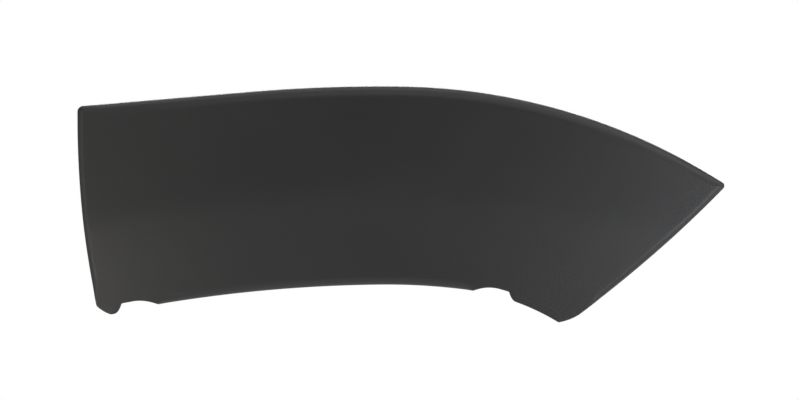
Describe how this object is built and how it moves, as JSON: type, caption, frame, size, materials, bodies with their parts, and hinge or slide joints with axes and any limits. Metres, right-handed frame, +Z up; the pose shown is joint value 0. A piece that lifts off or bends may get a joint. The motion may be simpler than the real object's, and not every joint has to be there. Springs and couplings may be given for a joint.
{
  "type": "wheel arch trim",
  "caption": "Arched moulded cover for the wing around a wheel opening, with rolled edges, a leaning flange along the opening, clip towers, locating pins and screw holes.",
  "frame": {"origin": "on the axis of the main locating pin, where it meets the body panel", "axes": "+X along the trim to the pointed end, right as seen from outside; +Y from the outside towards the vehicle body, along the locating pins; +Z up"},
  "size_m": [0.5562, 0.0597, 0.202],
  "materials": {
    "grained_plastic": "fine moulded grain, satin"
  },
  "bodies": {
    "root": {"arch_trim": "grained_plastic"}
  },
  "joints": []
}
